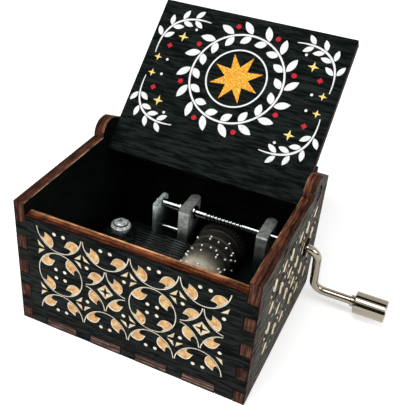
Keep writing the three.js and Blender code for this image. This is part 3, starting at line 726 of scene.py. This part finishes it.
def panel(name, node, facing, stain, inside, edges):
    """A plywood panel: stained faces, plies along its cut edges, corners slightly worn. Faces
    turned into the case take a darker stain, which is painted shade.
    """
    bm = copy_of(node)
    soften(bm, edge_wear)
    bm.normal_update()
    for face in bm.faces:
        middle = face.calc_center_median()
        if abs(face.normal.dot(facing)) > least_facing:
            faces_inwards = face.normal.dot(case_middle - middle) > 0
            # Inward faces take the darker stain, painted shade.
            face.material_index = SHADED_INSIDE if inside and faces_inwards else STAIN
        else:
            is_top = face.normal.z > least_rise and middle.z > lowest_top
            face.material_index = SANDED if is_top else SCORCHED
    # A thin dark rim round each finger and tab end: partly char, partly painted shade in the
    # joints' gaps.
    ends = [f for f in bm.faces if f.material_index == SCORCHED
            and least_end < f.calc_area() < largest_end]
    for face in ops.inset_individual(bm, faces=ends, thickness=gap_shade_width)["faces"]:
        face.material_index = CHAR_AND_GAP_SHADE
    body = "lid_board" if node == "lid" else "case"
    sanded, scorched_end, rim_char_and_gap_shade = edges
    finishes = [stain, sanded, engraved_cream, engraved_pale, engraved_tan, scorched_end,
                inside or stain, rim_char_and_gap_shade]
    return piece(name, bm, finishes, body, "stained_plywood", node)


def wall(side, outwards, reach, stain, inside, streaks, top, lattice):
    """An engraved wall. Its outer face stands reach from the case's middle. lattice is the middle
    of its pattern, the number of columns and the finish of the leaves."""
    edges = cut_edges(side, -outwards, -reach, streaks, top, scorched)
    made = panel(f"{side}_wall_panel", f"{side}_wall", outwards, stain, inside, edges)
    middle_u, columns, leaf_finish = lattice
    plane = plane_at(outwards * reach, UP, outwards)
    lines, leaves = Engraving(plane, leaf_finish), Engraving(plane, leaf_finish)
    draw_lattice(lines, leaves, middle_u, columns)
    finishes = list(made.data.materials)
    for drawing in (lines, leaves):
        cut(made, drawing.mesh("engraving", *finishes))


def build_case():
    wide = (case_depth / 2, stain_x, shaded_inside_x, along_wall_x)
    narrow = (case_width / 2, stain_y_painted_sheen, shaded_inside_y, along_wall_y)
    wall("front", -BACK, *wide, sanded_front, (-0.1 * mm, 4, TAN))
    wall("back", BACK, *wide, sanded_side, (0, 4, TAN))
    # The side walls' leaves take the paler engraving: painted sheen for the grazing light.
    wall("right", RIGHT, *narrow, sanded_side, (1.9 * mm, 3, PALE))
    wall("left", -RIGHT, *narrow, sanded_side, (0, 3, PALE))
    base_edges = cut_edges("base", UP, 0, along_base, sanded_side, scorched_base)
    panel("base_board", "base_panel", UP, stain_x, shaded_inside_x, base_edges)
    lid_start = lid_pivot.dot(lid_out) - ply / 2
    lid_edges = cut_edges("lid", lid_out, lid_start, along_lid, charred, charred)
    panel("lid_plate", "lid", lid_out, stain_x, None, lid_edges)


# Movement

bar_chamfer_share = 0.18
ring_chamfer_share = 0.16


def build_casting():
    """The lug next to the right wall is painted darker than the rest, as shade from the wall."""
    cast = softened_piece("movement_casting", zinc, "case", "zinc_casting", 0.25 * mm, "bedplate")
    cast.data.materials.append(right_lug_shaded_zinc)
    # The right lug's faces take the darker copy: painted shade.
    for face in cast.data.polygons:
        if face.center.x > right_lug_from and face.center.y > lug_front:
            face.material_index = 1
    softened_piece("end_bracket", bracket_zinc, "case", "plated_steel", 0.2 * mm, "shaft_bracket")
    softened_piece("reed_comb", comb_steel, "case", "comb_steel", 0.06 * mm, "comb")


def bar_of(node, axis):
    """The low end of a round node on its own axis, its length and its radius."""
    low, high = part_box(node)
    length = (high - low).dot(axis)
    radius = max((high - low) - axis * length) / 2
    return (low + high) / 2 - axis * length / 2, length, radius


def round_piece(name, node, axis, finish, body, slot, bore=0):
    """A pin with rounded ends where the node's bar is. With a bore it is a washer or a collar."""
    start, length, radius = bar_of(node, axis)
    chamfer = length * ring_chamfer_share if bore else radius * bar_chamfer_share
    profile = rounded_bar(length, radius, chamfer, bore)
    turned_piece(name, profile, start, axis, finish, body, slot, node)


# Screws are drawn for the comb's and scaled for the bracket's.
screw_flange = 2.6 * mm
flange_height = 0.42 * mm
screw_head = 2.0 * mm
screw_height = 1.5 * mm
screw_shank = 1.15 * mm
head_wall = 0.3 * mm
groove_width = 0.22 * mm
cross_width = 0.42 * mm
cross_reach = 1.35 * mm
cross_depth = 0.42 * mm
cross_taper = 0.55
screw_dome_steps = 9


def cross_recess(place, scale):
    """A cutter for a cross recess that narrows towards the bottom. Its walls take the painted
    shade.
    """
    half, reach, depth = cross_width / 2 * scale, cross_reach * scale, cross_depth * scale
    arm = [Vector((reach, -half)), Vector((reach, half)), Vector((half, half))]
    turns = [Matrix.Rotation(pi / 4 + pi / 2 * quarter, 2) for quarter in range(4)]
    cross = Drawing(Matrix.Translation(place + UP * depth))
    top = cross.flat([turn_by @ corner for turn_by in turns for corner in arm])
    verts = cross.draw_out([top], -2 * depth)[0]
    ops.scale(cross.bm, verts=verts, vec=Vector((cross_taper, cross_taper, 1)),
                    space=Matrix.Translation(-place))
    return cross.mesh("cross", recess_shade)


def round_screw(name, node, scale, length):
    """A domed screw with a flange, a groove and a cross recess, at the node's top. The groove and
    the recess are painted dark, as shade.
    """
    start, height, _ = bar_of(node, UP)
    top = start + UP * height
    seat = top - UP * screw_height * scale
    rim, head, flange = flange_height, screw_head, screw_flange
    wall_top, groove = rim + head_wall, head + groove_width
    dome = [(wall_top + (screw_height - wall_top) * sin(a), head * cos(a))
            for a in (pi / 2 * i / screw_dome_steps for i in range(screw_dome_steps))]
    profile = [(-length, 0), (-length, screw_shank), (0, screw_shank), (0, flange),
               (rim * 0.7, flange), (rim, flange * 0.96), (rim, groove), (rim * 0.3, head)]
    profile += dome + [(screw_height, 0)]
    bm = turned([(along * scale, out * scale) for along, out in profile], seat, UP)
    # Faces of the groove below the dome take the painted shade.
    for face in bm.faces:
        spot = (face.calc_center_median() - seat) / scale
        face.material_index = int(0 < spot.z < wall_top and spot.xy.length < groove)
    smooth(bm)
    screw = piece(name, bm, [screw_steel, recess_shade], "case", "plated_steel", node)
    cut(screw, cross_recess(top, scale))


def build_screws():
    for end in ("front", "back"):
        round_piece(f"washer_{end}", f"comb_washer_{end}", UP, screw_steel, "case", "plated_steel",
                    screw_shank)
        round_screw(f"comb_bolt_{end}", f"comb_screw_{end}", scale=1, length=5 * mm)
    round_screw("bracket_bolt", "bracket_screw", scale=0.55, length=4 * mm)
    round_piece("lower_rod", "tie_rod", RIGHT, plated, "case", "plated_steel")
    for number in (1, 2, 3):
        softened_piece(f"base_screw_{number}", plated, "case", "plated_steel", 0.08 * mm,
                       f"mounting_screw_{number}")


def build_drum():
    """The barrel with its pins, laid out in short runs as a tune is."""
    low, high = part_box("drum_barrel")
    centre = Vector((drum_x, low.y, bar_of("drum_axle", BACK)[0].z))
    profile = rounded_bar(high.y - low.y, drum_radius, drum_chamfer, drum_radius - drum_wall)
    bm = turned(profile, centre, BACK, steps=96)
    comb_low, comb_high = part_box("comb")
    track_gap = (comb_high.y - comb_low.y) / track_count
    draws = random.Random(tune_seed)
    for track in range(track_count):
        y = comb_low.y + (track + 0.5) * track_gap
        for beat in draws.sample(range(beats), pins_per_track):
            angle = tau * (beat + beat_drift * draws.random()) / beats
            outwards = Vector((cos(angle), 0, sin(angle)))
            foot = Vector((drum_x, y, centre.z)) + outwards * drum_radius
            for face in pin(bm, foot, outwards):
                face.material_index = 1
    smooth(bm)
    piece("pinned_drum", bm, [drum_metal, pin_steel_painted_glint], "drum", "drum_metal", "drum_barrel")


def pin(bm, foot, axis, sides=8):
    """One small pin with a domed top, built up ring by ring."""
    side = axis.orthogonal().normalized()
    steps = [(-pin_root, pin_radius), (pin_height * 0.6, pin_radius),
             (pin_height * 0.9, pin_radius * 0.65)]
    rings = []
    for along, radius in steps:
        spin = [Matrix.Rotation(tau * i / sides, 3, axis) @ (side * radius) for i in range(sides)]
        rings.append([bm.verts.new(foot + axis * along + spot) for spot in spin])
    faces = [bm.faces.new(rings[0][::-1])]
    crown = bm.verts.new(foot + axis * pin_height)
    for i in range(sides):
        j = (i + 1) % sides
        faces += [bm.faces.new([lower[i], lower[j], upper[j], upper[i]])
                  for lower, upper in zip(rings, rings[1:])]
        faces.append(bm.faces.new([rings[-1][i], rings[-1][j], crown]))
    return faces


def build_drum_parts():
    axle_radius = bar_of("drum_axle", BACK)[2]
    round_piece("drum_spindle", "drum_axle", BACK, plated, "drum", "plated_steel")
    softened_piece("driven_wheel", wheel_metal, "drum", "comb_steel", 0.1 * mm, "worm_wheel")
    for end in ("front", "back"):
        round_piece(f"spindle_clip_{end}", f"axle_clip_{end}", BACK, plated, "drum", "plated_steel",
                    axle_radius)
        round_piece(f"drum_end_{end}", f"drum_cap_{end}", BACK, wheel_metal, "drum", "drum_metal",
                    axle_radius)


# Crank

thread_pitch = tau * wheel_pitch_radius / wheel_teeth
worm_start = drum_x - worm_turns * thread_pitch / 2
worm_end = drum_x + worm_turns * thread_pitch / 2
worm_phase = 0.75
segments_per_turn = 20
worm_sides = 32
arm_direction = Vector((0, sin(arm_angle), -cos(arm_angle)))
shaft_line = Vector((0, shaft_y, shaft_z))
wire_setback = 0.4 * mm
wire_chamfer = 0.2 * mm
inside_wire = wire_radius * 0.9
knob_play = 0.05 * mm
knob_chamfer = 0.35 * mm
knob_lip = 0.1 * mm
knob_flat = 0.12 * mm
well_play = 0.06 * mm
well_depth = 0.8 * mm


def thread_radius(phase):
    """The thread's height at a phase, where 0 is the middle of a crest."""
    from_crest = abs(phase - round(phase))
    flank = (thread_base_share - crest_share) / 2
    fall = min(max((from_crest - crest_share / 2) / flank, 0), 1)
    return worm_outer + (worm_root - worm_outer) * fall


def build_worm():
    """A flat grid rolled up: its x runs along the shaft and its y round it."""
    bm = bmesh.new()
    ops.create_grid(bm, x_segments=worm_turns * segments_per_turn, y_segments=worm_sides,
                          size=0.5)
    for vert in bm.verts:
        x = worm_start + (worm_end - worm_start) * (vert.co.x + 0.5)
        angle = tau * (vert.co.y + 0.5)
        radius = thread_radius((x - drum_x) / thread_pitch - angle / tau - worm_phase)
        vert.co = Vector((x, shaft_y + radius * cos(angle), shaft_z + radius * sin(angle)))
    ops.remove_doubles(bm, verts=bm.verts, dist=weld)
    close_ends(bm)
    smooth(bm, radians(50))
    piece("worm", bm, [plated], "crank", "plated_steel")


def straight(bm, loop, vector):
    """Draws the wire on in a straight line and returns its new end."""
    drawn = ops.extrude_edge_only(bm, edges=loop)["geom"]
    ops.translate(bm, verts=only(BMVert, drawn), vec=vector)
    return [e for e in only(BMEdge, drawn) if all(v in drawn for v in e.verts)]


def bend(bm, loop, centre, axis, angle, steps=12):
    """Draws the wire on round a bend and returns its new end."""
    bent = ops.spin(bm, geom=loop, cent=centre, axis=axis, angle=angle, steps=steps)
    return only(BMEdge, bent["geom_last"])


def build_wire():
    """The crank's wire: along the shaft, down the arm, and out through the knob."""
    end_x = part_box("crank_knob")[1].x - wire_setback
    bm = bmesh.new()
    start = Matrix.Translation(shaft_line + RIGHT * worm_end) @ Matrix.Rotation(pi / 2, 4, "Y")
    ops.create_circle(bm, segments=32, radius=wire_radius, matrix=start)
    hinge = RIGHT.cross(arm_direction)
    upper_bend = shaft_line + RIGHT * (arm_x - bend_radius) + arm_direction * bend_radius
    lower_bend = (shaft_line + RIGHT * (arm_x + bend_radius)
                  + arm_direction * (arm_throw - bend_radius))
    loop = straight(bm, list(bm.edges), RIGHT * (case_width / 2 - worm_end))
    loop = straight(bm, loop, RIGHT * (arm_x - bend_radius - case_width / 2))
    loop = bend(bm, loop, upper_bend, hinge, pi / 2)
    loop = straight(bm, loop, arm_direction * (arm_throw - 2 * bend_radius))
    loop = bend(bm, loop, lower_bend, hinge, -pi / 2)
    straight(bm, loop, RIGHT * (end_x - arm_x - bend_radius))
    close_ends(bm)
    smooth(bm)
    for face in bm.faces:
        face.material_index = int(face.calc_center_median().x < case_width / 2)
    piece("crank_wire", bm, [nickel, plated], "crank", "nickel", "crank_rod")
    start_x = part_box("crank_rod")[0].x
    length = worm_start - start_x
    profile = [(0, 0), (0, wire_radius - wire_chamfer), (wire_chamfer, wire_radius),
               (length, wire_radius), (length, 0)]
    turned_piece("shaft_end", profile, shaft_line + RIGHT * start_x, RIGHT, plated, "crank",
                 "nickel")


def build_knob():
    """The knob has a well for the rivet at its outer end."""
    start, length, radius = bar_of("crank_knob", RIGHT)
    bore = wire_radius + knob_play
    well = bar_of("knob_retainer", RIGHT)[2] + well_play
    well_start = length - well_depth
    edge = [(0, radius - knob_chamfer), (knob_lip, radius - knob_chamfer * 0.4),
            (knob_chamfer, radius), (knob_chamfer + knob_flat, radius)]
    far_edge = [(length - along, out) for along, out in reversed(edge)]
    profile = [(0, bore), *edge, *far_edge, (length, well), (well_start, well), (well_start, bore),
               (0, bore)]
    turned_piece("knob", profile, start, RIGHT, nickel, "knob", "nickel", "crank_knob")
    round_piece("wire_stop", "knob_stop", RIGHT, nickel, "crank", "nickel", inside_wire)
    round_piece("rivet_head", "knob_retainer", RIGHT, nickel, "crank", "nickel")
    for side in ("left", "right"):
        round_piece(f"collar_{side}", f"shaft_collar_{side}", RIGHT, plated, "crank",
                    "plated_steel", inside_wire)


# Print on the lid's inner face, drawn up from the pivot

ink_height = 0.03 * mm
wreath_middle = Vector((0, 24.5 * mm))
wreath_radius = 13.4 * mm
leaf_pairs = 16
leaf_root = 0.5 * mm
leaf_width = 1.6 * mm
outer_leaf = 4.6 * mm
outer_lean = 0.75
inner_leaf = 3.6 * mm
inner_lean = 0.85
berry_count = 8
berry_radius = 0.75 * mm
berry_turn = 0.38
berry_reach = 16 * mm
print_height = 45.5 * mm
spray_leaf = (3.3 * mm, 1.15 * mm)
spray_root = 0.45 * mm
spray_lean = 0.9


class Print(Drawing):
    """Raised ink of one colour."""

    def __init__(self, name, ink):
        super().__init__(plane_at(lid_pivot + lid_out * (ply / 2 - ink_height), lid_up, lid_out))
        self.name = name
        self.ink = ink

    def figure(self, outline):
        self.draw_out([self.flat(outline)], 2 * ink_height)

    def stroke(self, points, width, taper):
        """A line along points, thinner at its ends by taper."""
        last = len(points) - 1
        outer, inner = [], []
        for i, point in enumerate(points):
            ahead = (points[min(i + 1, last)] - points[max(i - 1, 0)]).normalized()
            half = width / 2 * (1 - taper * (2 * i / last - 1) ** 2)
            outer.append(point + left_of(ahead) * half)
            inner.append(point - left_of(ahead) * half)
        self.figure(outer + inner[::-1])

    def ring(self, radius, width, sides=72):
        """A ring round the wreath's middle."""
        outer = circle(wreath_middle, radius + width / 2, sides)
        inner = circle(wreath_middle, radius - width / 2, sides)
        self.draw_out(self.band(outer, inner, closed=True), 2 * ink_height)

    def leaf(self, foot, way, length, width):
        """A pointed leaf that grows from foot along the unit vector way."""
        along, side = way * length, left_of(way) * width
        near, far, tip = foot + along * 0.3, foot + along * 0.75, foot + along
        left = interpolate_bezier(foot, near + side, far + side * 0.7, tip, 9)
        right = interpolate_bezier(tip, far - side * 0.7, near - side, foot, 9)
        self.figure([*left, *right[1:-1]])

    def star(self, centre, reach, waist, points=4, turn_by=0.0):
        self.figure([centre + heading(pi * i / points + turn_by) * (waist if i % 2 else reach)
                     for i in range(2 * points)])

    def finish(self):
        ops.recalc_face_normals(self.bm, faces=self.bm.faces)
        piece(self.name, self.bm, [self.ink], "lid_board", "stained_plywood")


def draw_spray(white, yellow, red, side, low):
    """A curling spray in a corner, mirrored by side, and turned over where it is the upper one."""
    def place(u, v):
        return Vector((side * u * mm, v * mm if low else print_height - v * mm))
    curve = interpolate_bezier(place(26, 19), place(27, 8), place(20, 5.5), place(13, 6.5), 22)
    stem = [point.to_2d() for point in curve]
    white.stroke(stem, width=0.6 * mm, taper=0.6)
    for i in (4, 8, 12, 16):
        ahead = (stem[i + 1] - stem[i - 1]).normalized()
        for normal in (-left_of(ahead), left_of(ahead)):
            way = (ahead + normal * spray_lean).normalized()
            white.leaf(stem[i] + normal * spray_root, way, *spray_leaf)
    yellow.star(place(19.5, 12.5), reach=1.6 * mm, waist=0.5 * mm)
    yellow.star(place(24.6, 20.2), reach=1.2 * mm, waist=0.4 * mm)
    red.star(place(22.5, 16), reach=0.9 * mm, waist=0.6 * mm)
    for spot in (place(16.5, 9.5), place(21.6, 20.4)):
        white.dot(spot, radius=0.4 * mm)


def build_print():
    """A wreath of leaves round a gilt rosette, with sprays in the corners."""
    white = Print("print_white", white_ink)
    red = Print("print_red", red_ink)
    gold = Print("print_gold", glitter)
    yellow = Print("print_yellow", yellow_ink)
    white.ring(wreath_radius, width=0.55 * mm)
    for i in range(leaf_pairs):
        angle = tau * i / leaf_pairs
        outer_foot = wreath_middle + heading(angle) * (wreath_radius + leaf_root)
        inner_foot = wreath_middle + heading(angle) * (wreath_radius - leaf_root)
        white.leaf(outer_foot, heading(angle + outer_lean), outer_leaf, leaf_width)
        white.leaf(inner_foot, -heading(angle - inner_lean), inner_leaf, leaf_width)
    for i in range(berry_count):
        angle = tau * (i + berry_turn) / berry_count
        red.dot(wreath_middle + heading(angle) * berry_reach, berry_radius)
    gold.star(wreath_middle, reach=7.6 * mm, waist=3.4 * mm, points=8, turn_by=pi / 8)
    white.ring(radius=8.6 * mm, width=0.45 * mm)
    for side in (-1, 1):
        for low in (False, True):
            draw_spray(white, yellow, red, side, low)
    for ink in (white, red, gold, yellow):
        ink.finish()


# Studio

plain_white = (1, 1, 1, 1)
ambient = 0.3
floor_size = 3
paper_lift = 0.5
far_lift = 0.8


def build_floor():
    """White paper. Its own light hides its tone from the camera and leaves the soft shadow. The
    light grows from a quarter to three quarters of a metre away."""
    bm = bmesh.new()
    ops.create_grid(bm, x_segments=1, y_segments=1, size=floor_size)
    finish = Finish("floor_paper", Roughness=0.9, Specular_IOR_Level=0.1,
                    Emission_Color=plain_white)
    haze = finish.noise(60, detail=2)
    finish.feed("Base Color", finish.ramp(haze, (0.3, 0.9), (0.7, 0.93)))
    distance = finish.node("VectorMath", {0: finish.place}, operation="LENGTH")
    lift = finish.ramp(distance.outputs["Value"], (0.25, paper_lift), (0.75, far_lift))
    finish.feed("Emission Strength", finish.math("MULTIPLY", lift, finish.seen_level(0, 1)))
    scene_object("floor", mesh_of("floor", bm, finish.material))


def build_screen(name, low, high, side, shade):
    """A dark half ring between two circles of (radius, height). Only reflections see it, and it
    gives metal its dark lines."""
    (low_radius, low_z), (high_radius, high_z) = low, high
    bm = bmesh.new()
    ops.create_cone(bm, segments=64, radius1=low_radius, radius2=high_radius,
                          depth=high_z - low_z, cap_ends=False,
                          matrix=Matrix.Translation((0, 0, (low_z + high_z) / 2)))
    other_half = [f for f in bm.faces if f.calc_center_median().dot(side) < 0]
    ops.delete(bm, geom=other_half, context="FACES")
    finish = Finish(f"{name}_cloth", Roughness=1, Specular_IOR_Level=0)
    finish.feed("Base Color", finish.ramp(finish.noise(40), (0.3, shade), (0.7, shade * 1.3)))
    made = scene_object(name, mesh_of(name, bm, finish.material))
    for ray in ("camera", "diffuse", "shadow", "transmission", "volume_scatter"):
        setattr(made, f"visible_{ray}", False)


def build_world():
    """Even pale light, and white where the camera or a reflection looks past everything."""
    world = bpy.data.worlds.new("studio")
    scene.world = world
    world.use_nodes = True
    sky = Nodes(world.node_tree)
    background = sky.tree.nodes["Background"]
    background.inputs["Color"].default_value = plain_white
    sky.tree.links.new(sky.seen_level(ambient, 1), background.inputs["Strength"])


def softbox(name, place, size, power):
    """A lamp aimed at the middle of the case."""
    light = bpy.data.lights.new(name, "AREA")
    light.shape = "RECTANGLE"
    light.size, light.size_y = size
    light.energy = power
    made = scene_object(name, light)
    made.location = place
    made.rotation_euler = (case_middle - made.location).to_track_quat("-Z", "Y").to_euler()


def build_lights():
    softbox("key", place=(-0.48, -0.62, 0.62), size=(0.45, 0.5), power=3.4)
    softbox("fill", place=(0.7, -0.25, 0.4), size=(0.5, 0.4), power=2.6)
    softbox("top", place=(-0.12, -0.35, 0.88), size=(0.5, 0.3), power=3.9)


# The camera stands where a fit to the case's corners puts it.
camera_place = Vector((58.62, -135.7, 134.85)) * mm
camera_turn = radians(23.18)
camera_tilt = radians(34.62)
camera_roll = radians(4.02)
lens_millimetres = 61.74
shift_right = 0.049


def build_camera():
    data = bpy.data.cameras.new("camera")
    data.lens = lens_millimetres
    data.shift_x = shift_right
    made = scene_object("camera", data)
    made.matrix_world = (Matrix.Translation(camera_place) @ Matrix.Rotation(camera_turn, 4, "Z")
                         @ Matrix.Rotation(pi / 2 - camera_tilt, 4, "X")
                         @ Matrix.Rotation(camera_roll, 4, "Z"))
    scene.camera = made


build_camera()
build_case()
build_casting()
build_screws()
build_drum()
build_drum_parts()
build_worm()
build_wire()
build_knob()
build_print()
build_floor()
build_screen("low_screen", low=(1.2, 0.01), high=(1.2, 0.87), side=-BACK, shade=0.05)
build_screen("high_screen", low=(0.58, 1.2), high=(0.02, 1.3), side=BACK, shade=0.012)
build_world()
build_lights()
scene.view_settings.view_transform = "Standard"
